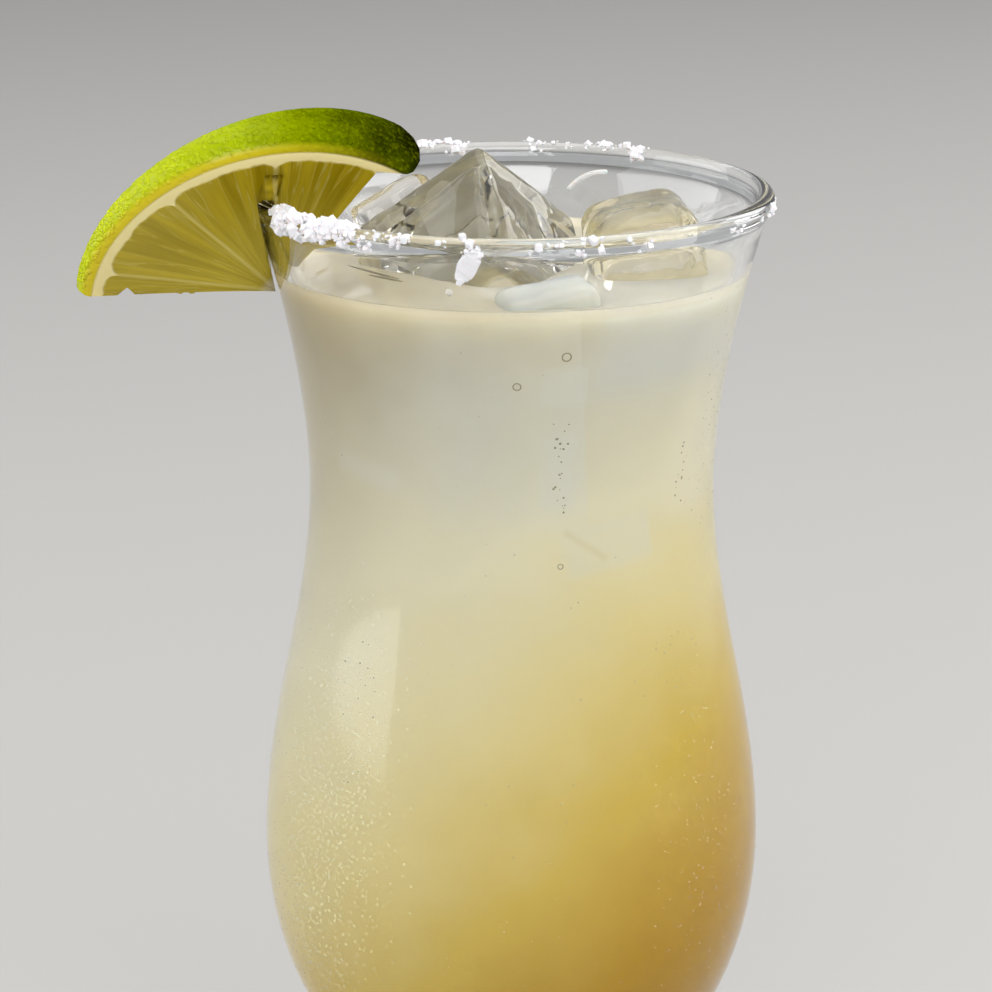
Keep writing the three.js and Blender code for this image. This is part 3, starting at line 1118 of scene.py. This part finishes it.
@dataclass
class Salt:
    """Coarse salt along the rim, with finer grains round each coarse one and one leaf-shaped flake."""

    glass: Glass
    seed: int = 20417
    sink: float = 0.1
    crystal_cut: float = 0.1
    coarse_share: float = 0.8
    coarse_sides: tuple[tuple[float, float], ...] = ((0.75, 1.0), (0.75, 1.0), (0.7, 1.0))
    fine_shares: tuple[float, float] = (0.2, 0.5)
    fine_sides: tuple[float, float] = (0.6, 1.1)
    fine_lifts: tuple[float, float] = (-0.1, 0.35)
    fine_spread: float = 0.6
    stretches: tuple[SaltStretch, ...] = (
        SaltStretch(207, 232, 40, 2.1, 1.2, -70, 130, SaltSide.CRUST),
        SaltStretch(232, 247, 9, 1.5, 0.8, -50, 110, SaltSide.CLUMP),
        SaltStretch(250, 265, 6, 1.4, 0.8, -40, 100, SaltSide.SPARSE),
        SaltStretch(274, 290, 6, 1.6, 0.8, -50, 60, SaltSide.SPARSE),
        SaltStretch(294, 332, 5, 1.0, 0.7, -60, 40, SaltSide.SPARSE),
        SaltStretch(336, 362, 6, 1.3, 0.7, -50, 50, SaltSide.SPARSE),
        SaltStretch(56, 69, 8, 1.8, 0.9, 40, 170, SaltSide.CLUMP),
        SaltStretch(70, 96, 6, 1.4, 0.8, 60, 170, SaltSide.SPARSE),
        SaltStretch(97, 112, 7, 1.8, 0.9, 40, 170, SaltSide.CLUMP),
    )
    flake_length: float = 6.4
    flake_width: float = 2.7
    flake_thickness: float = 1.0
    flake_angle: float = 260.5
    flake_drop: float = 3.8
    flake_turn: float = -28.0
    flake_plates: int = 12
    finish: PlainFinish = PlainFinish(
        "salt", (0.79, 0.79, 0.82, 1.0), roughness=0.45, bend=1.5, glow_through=0.2, reach=0.4
    )

    def on_bead(self, angle: float, round_bead: float, reach: float) -> Vector:
        """Finds a point round the rim bead.

        Args:
            angle: Turn round the glass in radians.
            round_bead: Turn round the bead in radians.
            reach: Distance from the middle of the bead in millimetres.

        Returns:
            The point in metres.
        """
        radius = self.glass.rim_radius - self.glass.bead_radius + reach * math.cos(round_bead)
        height = self.glass.height - self.glass.bead_radius + reach * math.sin(round_bead)
        return round_axis(radius, angle, height)

    def grains(self) -> Iterator[tuple[float, float, float, tuple[float, ...], Matrix, SaltSide]]:
        """Goes through the coarse grains.

        Yields:
            Each grain's turn round the glass and the bead, width, sides, turn and thickness of salt.
        """
        chance = Chance(self.seed)
        for stretch in self.stretches:
            for width in even_steps(stretch.wide, stretch.fine, stretch.count - 1):
                angle = math.radians(chance.between(stretch.start, stretch.end))
                round_bead = math.radians(chance.between(stretch.outside, stretch.inside))
                sides = tuple(width * chance.between(*share) for share in self.coarse_sides)
                turn = Matrix.Rotation(math.pi * chance.draw(), 3, "X")
                turn = Matrix.Rotation(math.pi * chance.draw(), 3, "Y") @ turn
                turn = Matrix.Rotation(angle, 3, "Z") @ turn
                yield angle, round_bead, width, sides, turn, stretch.side

    def flake(self, heap: Grains, chance: Chance) -> None:
        """Adds the leaf-shaped flake as overlapping thin plates.

        Args:
            heap: The salt so far.
            chance: The row of random numbers.
        """
        angle = math.radians(self.flake_angle)
        point, outward = self.glass.skin(angle, self.flake_drop)
        along = Vector((-math.sin(angle), math.cos(angle), 0))
        upward = outward.cross(along)
        lean = math.radians(self.flake_turn)
        spine = upward * math.cos(lean) - along * math.sin(lean)
        cross = spine.cross(outward)
        for part in even_steps(-0.44, 0.44, self.flake_plates - 1):
            width = self.flake_width * (1 - (2 * part) ** 2) + 0.2
            place = point + (spine * part * self.flake_length + outward * chance.between(0.1, 0.4)) * MM
            tilt = Matrix.Rotation(chance.between(-0.2, 0.2), 3, outward)
            turn = tilt @ Matrix((cross, spine, outward)).transposed()
            heap.add(place, turn, (width, self.flake_length / 6, self.flake_thickness), chance)

    def build(self) -> None:
        """Heaps the grains and dresses them."""
        heap = Grains(*crystal_shape(self.crystal_cut))
        chance = Chance(self.seed + 1)
        for angle, round_bead, width, sides, turn, side in self.grains():
            coarse = [self.coarse_share * length for length in sides]
            reach = self.glass.bead_radius + self.sink * width
            heap.add(self.on_bead(angle, round_bead, reach), turn, coarse, chance)
            for _ in range(side.value):
                fine = width * chance.between(*self.fine_shares)
                near = angle + chance.between(-1.0, 1.0) * width / self.glass.rim_radius
                over = round_bead + chance.between(-self.fine_spread, self.fine_spread)
                reach = self.glass.bead_radius + fine * chance.between(*self.fine_lifts)
                spin = Euler([chance.between(0, math.pi) for _ in range(3)]).to_matrix()
                size = [fine * chance.between(*self.fine_sides) for _ in range(3)]
                heap.add(self.on_bead(near, over, reach), spin, size, chance)
        self.flake(heap, chance)
        Bench.settle(heap.build("salt_grains"), self.finish.material(), "glass", "glass")


@dataclass
class IcePiece:
    """One piece of ice that stands out of the drink, with worn edges and lumpy faces.

    Its middle is given from the middle of the rim, and its turns about X, Y and Z in degrees. Where the
    rim of a face is wider than its worn edge, the face inside the rim is sunken. A core is a smaller copy
    inside the ice, given as a share of its size.
    """

    glass: Glass
    node: str
    size: tuple[float, float, float]
    place: tuple[float, float, float]
    turn: tuple[float, float, float]
    worn: float = 3.2
    rim: float = 4.6
    sunk: float = 0.9
    wobble: float = 1.0
    core: float = 0.0
    core_turn: float = 0.16
    lump_size: float = 7.0

    def build(self, material: bpy.types.Material) -> bpy.types.Object:
        """Models the block and dresses it.

        Args:
            material: The ice finish.

        Returns:
            The finished ice.
        """
        Bench.pick(None)
        place = self.glass.from_rim(self.place)
        turn = [math.radians(angle) for angle in self.turn]
        bpy.ops.mesh.primitive_cube_add(size=MM, location=place, rotation=turn, scale=self.size)
        piece = Bench.named(self.node + "_clear")
        with Bench.editing(piece):
            if self.rim > self.worn:
                bpy.ops.mesh.inset(thickness=self.rim * MM, depth=-self.sunk * MM, use_individual=True)
            bpy.ops.mesh.select_all(action="DESELECT")
            bpy.ops.mesh.select_mode(type="EDGE")
            bpy.ops.mesh.edges_select_sharp(sharpness=math.radians(60))
            bpy.ops.mesh.bevel(offset=self.worn * MM, segments=3, affect="EDGES")
            bpy.ops.mesh.select_mode(type="VERT")
        Bench.modify(piece, "SUBSURF", {"levels": 3, "render_levels": 3})
        lumps = bpy.data.textures.new("lumps", "CLOUDS")
        lumps.noise_scale = self.lump_size * MM
        Bench.modify(piece, "DISPLACE", {"texture": lumps, "strength": self.wobble * MM})
        Bench.close(piece)
        Bench.smooth(piece, 180)
        Bench.settle(piece, material, "ice", self.node)
        if self.core:
            core = Bench.smaller_copy(piece, self.node + "_core", self.core, self.core_turn)
            Bench.settle(core, material, "ice")
        return piece


@dataclass
class Drink:
    """The drink, which fills the bowl and reaches a little into the wall."""

    glass: Glass
    fill_drop: float = 12.0
    overlap: float = 0.2
    rise: float = 0.9
    rise_width: float = 2.4
    rise_power: float = 2.2
    round_steps: int = 144
    ice_bite: float = 0.985

    def outline(self) -> Outline:
        """Draws the outline.

        Returns:
            The outline from the bottom of the bowl to the middle of the surface.
        """
        glass = self.glass
        points = glass.bowl_bottom(
            glass.belly_radius - glass.wall_at_belly + self.overlap,
            glass.bowl_round - glass.bowl_floor + self.overlap, TURN / 4, 18,
        )
        points += [
            (glass.inside_radius(drop) + self.overlap, glass.height - drop)
            for drop in even_steps(glass.belly_drop, self.fill_drop - self.rise, 34)[1:]
        ]
        level = glass.height - self.fill_drop
        edge = glass.inside_radius(self.fill_drop)
        for part in even_steps(0.0, 1.0, 7):
            points.append((edge - self.rise_width * part, level + self.rise * (1 - part) ** self.rise_power))
        points += [(edge * 0.6, level), (edge * 0.3, level), (0.0, level)]
        return points

    def build(self, ice: Sequence[bpy.types.Object]) -> None:
        """Fills the bowl, cuts the ice out of the drink and dresses it.

        Args:
            ice: The pieces of ice that the drink closes round.
        """
        piece = Bench.turned("drink_cloudy", self.outline(), self.round_steps)
        for block in ice:
            cutter = Bench.smaller_copy(block, "cutter", self.ice_bite, 0.0)
            settings = {"operation": "DIFFERENCE", "object": cutter, "solver": "MANIFOLD"}
            Bench.modify(piece, "BOOLEAN", settings)
            bpy.data.objects.remove(cutter)
        Bench.close(piece)
        Bench.smooth(piece, 40)
        finish = CloudyDrink(self.glass.height - self.fill_drop, self.glass.height)
        Bench.settle(piece, finish.material(), "drink", "drink")


@dataclass
class LimeSlice:
    """The slice of lime that is pushed over the rim, with small oil glands that stand out on its rind."""

    glass: Glass
    radius: float = 28.9
    turn: float = 0.24
    lean: float = -0.568
    tip: tuple[float, float, float] = (-34.7, -3.7, -15.0)
    segments: int = 10
    phase: float = 24.0
    thickness: float = 8.6
    bulge: float = 1.0
    taper: float = 0.0165
    edge_round: float = 0.5
    gland_count: int = 900
    gland_turns: tuple[float, float] = (53.0, 176.0)
    gland_widths: tuple[float, float] = (0.45, 0.95)
    gland_band: tuple[float, float] = (0.06, 0.96)
    gland_seed: int = 615

    def pose(self) -> Matrix:
        """Sets up the slice's own frame.

        Returns:
            The frame with right, up and front as its axes and the tip as its origin.
        """
        right = Vector((math.cos(self.turn), math.sin(self.turn), 0))
        front = Vector((
            math.sin(self.turn) * math.cos(self.lean), -math.cos(self.turn) * math.cos(self.lean),
            math.sin(self.lean),
        ))
        frame_turn = Matrix((right, front.cross(right), front)).transposed().to_4x4()
        return Matrix.Translation(self.glass.from_rim(self.tip)) @ frame_turn

    def inside(self, out: float, turn: float, deep: float) -> Vector:
        """A point of the slice in its own frame.

        Args:
            out: Distance from the tip in millimetres.
            turn: Angle round the slice in radians.
            deep: Share of the way from the front face to the back face.

        Returns:
            The point in metres.
        """
        right = out * math.cos(turn)
        return Vector((right, out * math.sin(turn), -deep * self.thickness * (1 + self.taper * right))) * MM

    def on_rind(self, turn: float, across: float) -> tuple[Vector, Vector]:
        """A point on the rind and the rind's outward direction there.

        Args:
            turn: Angle round the slice in radians.
            across: Share of the way from the back face to the front face.

        Returns:
            The point in metres and the direction of length one.
        """
        pose = self.pose()
        radius = self.radius + 4 * self.bulge * across * (1 - across)
        right, up = radius * math.cos(turn), radius * math.sin(turn)
        deep = blend(self.edge_round - self.thickness, -self.edge_round, across) * (1 + self.taper * right)
        slope = 4 * self.bulge * (2 * across - 1) / self.thickness
        outward = Vector((math.cos(turn), math.sin(turn), slope)).normalized()
        return pose @ (Vector((right, up, deep)) * MM), pose.to_3x3() @ outward

    def build(self) -> bpy.types.Material:
        """Copies the solid, sets oil glands on its rind and dresses both.

        Returns:
            The lime's finish.
        """
        material = LimeFinish(self.pose(), self.radius, self.segments, self.phase).material()
        piece = Bench.copy_of("lime", "lime_slice")
        Bench.smooth(piece, 32)
        Bench.settle(piece, material, "lime", "lime")
        chance = Chance(self.gland_seed)
        heap = Grains(*round_shape([(0, -0.2), (0.5, -0.2), (0.46, 0.0), (0.28, 0.09), (0, 0.12)], 7))
        for _ in range(self.gland_count):
            turn = math.radians(chance.between(*self.gland_turns))
            point, outward = self.on_rind(turn, chance.between(*self.gland_band))
            width = chance.between(*self.gland_widths)
            heap.add(point, outward.to_track_quat("Z", "Y").to_matrix(), (width,) * 3)
        heap.settle("lime_glands", material, "lime", 60)
        return material


@dataclass
class IceSliverHighlight:
    """A thin bent sliver of milky ice behind the cubes, given from the middle of the rim; its white finish
    paints a bright curved highlight line.
    """

    glass: Glass
    middle: tuple[float, float, float] = (13.9, 12.0, -6.5)
    bend: float = 6.5
    start: float = 146.0
    sweep: float = 62.0
    thickness: float = 0.9
    steps: int = 10

    def build(self, material: bpy.types.Material) -> None:
        """Spins a round end along the bend, closes it and dresses it.

        Args:
            material: The ice finish.
        """
        Bench.pick(None)
        middle = self.glass.from_rim(self.middle)
        turn = math.radians(self.start)
        first = middle + Vector((math.cos(turn), 0, math.sin(turn))) * self.bend * MM
        bpy.ops.mesh.primitive_circle_add(
            vertices=8, radius=self.thickness * MM / 2, fill_type="NGON",
            location=first, rotation=(0, math.pi - turn, 0),
        )
        piece = Bench.named("ice_sliver_highlight")
        with Bench.editing(piece):
            bpy.ops.mesh.spin(
                steps=self.steps, angle=math.radians(self.sweep), center=middle, axis=(0, -1, 0)
            )
        Bench.close(piece)
        Bench.modify(piece, "SUBSURF", {"levels": 2, "render_levels": 2})
        Bench.smooth(piece, 180)
        Bench.settle(piece, material, "ice")


@dataclass
class LimePulp:
    """Lime flesh that bulges along the lower cut, fills the slit above the rim and lines it below."""

    lime: LimeSlice
    seed: int = 4409
    cut_turn: float = 178.0
    cut_count: int = 110
    cut_reach: tuple[float, float] = (3.0, 25.5)
    cut_sunk: float = -0.2
    cut_size: float = 0.55
    slit_tries: int = 26000
    slit_reach: tuple[float, float] = (4.0, 25.0)
    slit_size: float = 0.6
    slit_clearance: float = 0.5
    slit_top: float = 4.6
    slit_fill: float = 0.8
    slit_skin: float = 0.12
    depths: tuple[float, float] = (0.07, 0.93)
    turns: tuple[float, float] = (64.0, 176.0)
    shift: float = 0.2
    stray: float = 0.3
    widths: tuple[float, float] = (0.8, 1.5)
    lengths: tuple[float, float] = (1.8, 3.4)
    grain: float = 0.22

    def at_slit(self, point: Vector) -> bool:
        """Tells whether a sac belongs in or beside the slit.

        Args:
            point: A place in the lime, in metres.

        Returns:
            True above the rim between the slit's faces, and close to a face below it.
        """
        glass = self.lime.glass
        drop = glass.height - point.z / MM
        if drop < -self.slit_top:
            return False
        away = math.hypot(point.x, point.y) / MM
        outer = glass.outside_radius(max(drop, 0.0)) + self.slit_clearance
        inner = glass.inside_radius(max(drop, 0.0)) - self.slit_clearance
        if drop < -self.slit_fill:
            return inner < away < outer
        return min(abs(away - outer), abs(away - inner)) < self.slit_skin

    def build(self, material: bpy.types.Material) -> None:
        """Lays juice sacs, melts them into one mass and dresses it.

        Args:
            material: The lime's finish.
        """
        chance = Chance(self.seed)
        sac = [(0, -0.5), (0.3, -0.42), (0.48, -0.1), (0.4, 0.25), (0.18, 0.46), (0, 0.5)]
        heap = Grains(*round_shape(sac, 8))
        pose = self.lime.pose()
        spots = []
        for _ in range(self.cut_count):
            out, deep = chance.between(*self.cut_reach), chance.between(*self.depths)
            spots.append((out, math.radians(self.cut_turn), deep, self.cut_size, self.cut_sunk))
        nearest, farthest = self.slit_reach
        for _ in range(self.slit_tries):
            out = farthest * math.sqrt(chance.draw())
            turn = math.radians(chance.between(*self.turns))
            deep = chance.between(*self.depths)
            if out > nearest and self.at_slit(pose @ self.lime.inside(out, turn, deep)):
                spots.append((out, turn, deep, self.slit_size, 0.0))
        for out, turn, deep, share, sunk in spots:
            lift = sunk + chance.between(-self.shift, self.shift)
            local = self.lime.inside(out, turn, deep) + Vector((0, lift, 0)) * MM
            aim = Matrix.Rotation(turn + chance.between(-self.stray, self.stray), 3, "Z")
            aim = aim @ Matrix.Rotation(math.pi / 2, 3, "Y")
            width = share * chance.between(*self.widths)
            size = (width, width, share * chance.between(*self.lengths))
            heap.add(pose @ local, pose.to_3x3() @ aim, size)
        piece = heap.build("lime_pulp")
        Bench.modify(piece, "REMESH", {"mode": "VOXEL", "voxel_size": self.grain * MM})
        Bench.modify(piece, "SMOOTH", {"factor": 0.5, "iterations": 5})
        Bench.smooth(piece, 180)
        Bench.settle(piece, material, "lime")


@dataclass
class Strands:
    """Thin strands of pulp on the inside of the wall, just above the drink.

    Each has its turn round the glass in degrees, drop, length and slope in degrees.
    """

    glass: Glass
    places: tuple[tuple[float, float, float, float], ...] = (
        (236.5, 6.2, 9.0, -7.0), (239.5, 6.9, 6.0, -4.0), (40.0, 7.6, 4.0, 6.0), (150.0, 7.2, 5.0, 4.0),
    )
    thickness: float = 0.34
    finish: PlainFinish = PlainFinish("pulp strands", tint(138, 124, 88), roughness=0.3)

    def build(self) -> None:
        """Lays the strands and dresses them."""
        strand = [(0, -0.5), (0.3, -0.4), (0.5, -0.1), (0.45, 0.2), (0.2, 0.44), (0, 0.5)]
        heap = Grains(*round_shape(strand, 7))
        for angle, drop, length, slope in self.places:
            turn = math.radians(angle)
            radius = self.glass.inside_radius(drop) - self.thickness / 2
            aim = Matrix.Rotation(turn, 3, "Z") @ Matrix.Rotation(math.radians(slope) - math.pi / 2, 3, "X")
            size = (self.thickness, self.thickness, length)
            heap.add(round_axis(radius, turn, self.glass.height - drop), aim, size)
        heap.settle("pulp_strands", self.finish.material(), "drink", 180)


@dataclass
class Bubbles:
    """Air bubbles that cling to the inside of the wall; their darker tone is painted shade for the dark
    outline of clear bubbles.

    A large one has a turn in degrees, a drop and a width. A swarm has a turn, a drop, a spread in degrees,
    a rise and a count.
    """

    drink: Drink
    seed: int = 98
    large: tuple[tuple[float, float, float], ...] = (
        (283.6, 18.2, 1.5), (271.1, 22.6, 1.3), (283.8, 50.4, 0.9), (30.0, 30.0, 1.4), (75.0, 44.0, 1.2),
        (110.0, 24.0, 1.5), (165.0, 52.0, 1.2),
    )
    swarms: tuple[tuple[float, float, float, float, int], ...] = (
        (283.2, 35.5, 5.0, 7.0, 24), (325.6, 39.0, 5.0, 5.0, 12), (226.0, 74.0, 14.0, 12.0, 18),
        (60.0, 36.0, 8.0, 12.0, 24), (130.0, 50.0, 10.0, 14.0, 24), (10.0, 48.0, 6.0, 12.0, 18),
    )
    widths: tuple[float, float] = (0.18, 0.42)
    # Painted shade: a tone darker than the drink stands for the dark outline that clear bubbles show.
    finish: PlainFinish = PlainFinish("bubbles", tint(170, 162, 130), roughness=0.05)

    def on_wall(self, angle: float, drop: float) -> tuple[Vector, Matrix]:
        """Finds the place and turn of a bubble at the edge of the drink.

        Args:
            angle: Turn round the glass in degrees.
            drop: Distance below the rim in millimetres.

        Returns:
            The place in metres and the turn.
        """
        glass = self.drink.glass
        turn = math.radians(angle)
        radius = glass.inside_radius(drop) + self.drink.overlap
        _, outward = glass.skin(turn, drop)
        return round_axis(radius, turn, glass.height - drop), outward.to_track_quat("Z", "Y").to_matrix()

    def build(self) -> None:
        """Sets the bubbles into the wall and dresses them."""
        chance = Chance(self.seed)
        material = self.finish.material()
        ring = [(0.36, 0.0), (0.43, 0.07), (0.5, 0.0), (0.43, -0.07), (0.36, 0.0)]
        rings = Grains(*round_shape(ring, 16))
        for angle, drop, width in self.large:
            rings.add(*self.on_wall(angle, drop), (width,) * 3)
        domes = Grains(*round_shape([(0, -0.2), (0.46, -0.2), (0.5, 0.0), (0.34, 0.24), (0, 0.34)], 7))
        for angle, drop, spread, rise, count in self.swarms:
            for _ in range(count):
                turn = angle + spread * (chance.draw() - 0.5)
                place = self.on_wall(turn, drop + rise * (chance.draw() * 2 - 1))
                domes.add(*place, (chance.between(*self.widths),) * 3)
        for heap, name in ((rings, "wall_bubbles"), (domes, "fine_bubbles")):
            heap.settle(name, material, "drink", 60)


@dataclass(frozen=True)
class WetPatch:
    """A patch of wall with condensation.

    It has a turn round the glass in degrees, a drop, a half width in degrees, a half height and a count.
    """

    angle: float
    drop: float
    spread: float
    rise: float
    count: int


@dataclass
class WaterDrops:
    """Fine drops of condensation on the outside wall and one larger drop under the rim; the white share of
    their finish paints them as pale specks of light.
    """

    glass: Glass
    seed: int = 771
    patches: tuple[WetPatch, ...] = (
        WetPatch(222, 88, 18, 26, 1700),
        WetPatch(215, 112, 22, 22, 500),
        WetPatch(322, 92, 16, 26, 500),
        WetPatch(338, 36, 12, 24, 160),
        WetPatch(270, 100, 60, 32, 160),
        WetPatch(60, 96, 50, 34, 500),
        WetPatch(140, 92, 40, 30, 500),
        WetPatch(180, 70, 180, 60, 380),
    )
    widths: tuple[float, float] = (0.12, 0.32)
    large_drop: tuple[float, float, float] = (255.8, 8.2, 1.3)
    lowest: float = 140.0
    scatter: float = 1.3
    # Painted light: the white, partly clear finish makes the drops show as pale glints.
    finish: PlainFinish = PlainFinish("water", (1.0, 1.0, 1.0, 1.0), roughness=0.02, clear=0.84, bend=1.33)

    def build(self) -> None:
        """Scatters the drops, thicker towards the middle of each patch, and dresses them."""
        chance = Chance(self.seed)
        heap = Grains(*round_shape([(0, -0.12), (0.46, -0.12), (0.5, 0.0), (0.36, 0.2), (0, 0.3)], 6))
        spots = [self.large_drop]
        for patch in self.patches:
            for _ in range(patch.count):
                turn = patch.angle + patch.spread * (chance.draw() + chance.draw() - 1) * self.scatter
                drop = patch.drop + patch.rise * (chance.draw() + chance.draw() - 1) * self.scatter
                spots.append((turn, drop, blend(self.widths[0], self.widths[1], chance.draw() ** 3)))
        for angle, drop, width in spots:
            if drop < self.lowest:
                point, outward = self.glass.skin(math.radians(angle), drop)
                heap.add(point, outward.to_track_quat("Z", "Y").to_matrix(), (width,) * 3)
        heap.settle("water_drops", self.finish.material(), "glass", 60)


@dataclass(frozen=True)
class Softbox:
    """A soft rectangular light that looks at the glass, with its place and size in metres and its watts."""

    name: str
    place: tuple[float, float, float]
    size: tuple[float, float]
    power: float
    aim_height: float = 0.13

    def build(self) -> None:
        """Hangs the light."""
        lamp = bpy.data.lights.new(self.name, "AREA")
        lamp.shape = "RECTANGLE"
        lamp.size, lamp.size_y = self.size
        lamp.energy = self.power
        holder = Bench.hang(self.name, lamp)
        holder.location = self.place
        aim = Vector((0, 0, self.aim_height)) - Vector(self.place)
        holder.rotation_euler = aim.to_track_quat("-Z", "Y").to_euler()


@dataclass
class Studio:
    """A pale floor, soft light and the camera, whose eye is given from the middle of the rim."""

    glass: Glass
    eye: tuple[float, float, float] = (-2.37, -602.8, 117.2)
    pitch: float = 15.28
    lens: float = 149.87
    floor_size: float = 12.0
    floor: PlainFinish = PlainFinish("pale floor", tint(180, 178, 175), roughness=0.7)
    lights: tuple[Softbox, ...] = (
        Softbox("window", (-1.15, 0.0, 0.5), (1.4, 0.95), 8.5),
        Softbox("front", (0.15, -1.6, 1.2), (1.6, 1.0), 24.0),
        Softbox("top", (0.2, 0.3, 1.5), (1.4, 1.4), 12.0),
        Softbox("right", (1.2, -0.3, 0.7), (0.7, 0.9), 7.0),
        Softbox("back", (1.25, 1.15, 0.9), (0.9, 0.9), 8.0),
    )
    sky_colour: Colour = (0.97, 0.98, 1.0, 1.0)
    sky_strength: float = 0.4

    def build(self) -> None:
        """Lays the floor, hangs the lights and sets up the camera."""
        Bench.pick(None)
        bpy.ops.mesh.primitive_plane_add(size=self.floor_size)
        ground = bpy.context.object
        ground.name = "floor"
        ground.data.materials.append(self.floor.material())
        for light in self.lights:
            light.build()
        world = bpy.data.worlds.new("room")
        world.use_nodes = True
        sky = world.node_tree.nodes["Background"]
        sky.inputs["Color"].default_value = self.sky_colour
        sky.inputs["Strength"].default_value = self.sky_strength
        bpy.context.scene.world = world
        bpy.context.scene.view_settings.view_transform = "Standard"
        camera = bpy.data.cameras.new("camera")
        camera.lens = self.lens
        holder = Bench.hang("camera", camera)
        holder.location = self.glass.from_rim(self.eye)
        holder.rotation_euler = (math.radians(90 - self.pitch), 0, 0)
        bpy.context.scene.camera = holder


def main() -> None:
    """Builds the pieces in order and reports each one."""
    logging.basicConfig(level=logging.INFO, format="%(name)s %(message)s")
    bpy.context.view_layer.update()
    glass = Glass()
    glass.build()
    Salt(glass).build()
    clear_ice = ClearIce().material()
    pieces = (
        IcePiece(glass, "ice_1", (27, 27, 27), (-5, 4.5, -15.8), (45, -35.3, 105), core=0.8),
        IcePiece(
            glass, "ice_2", (17, 17, 17.5), (20, -0.5, -10.6), (8, -12, 10), worn=4.4, rim=0.0, core=0.72
        ),
        IcePiece(glass, "ice_3", (14.2, 9, 14), (5.4, -22.6, -16.2), (8, -11, 15), worn=2.2, rim=0.0),
        IcePiece(
            glass, "ice_4", (13.4, 6.2, 12.4), (-17, 23, -10.5), (-10, -20, 34), worn=1.8, rim=0.0, wobble=0.6
        ),
    )
    milky_ice = PlainFinish(
        "milky ice", (0.93, 0.95, 0.94, 1.0),
        roughness=0.12, clear=0.55, bend=1.31, glow_through=0.4, reach=2.0,
    ).material()
    ice = [piece.build(milky_ice if piece.node == "ice_3" else clear_ice) for piece in pieces]
    # The sliver's milky white paints a curved highlight line behind the cubes.
    IceSliverHighlight(glass).build(milky_ice)
    drink = Drink(glass)
    drink.build(ice)
    Strands(glass).build()
    Bubbles(drink).build()
    lime = LimeSlice(glass)
    LimePulp(lime).build(lime.build())
    WaterDrops(glass).build()
    Studio(glass).build()


if __name__ == "__main__":
    main()
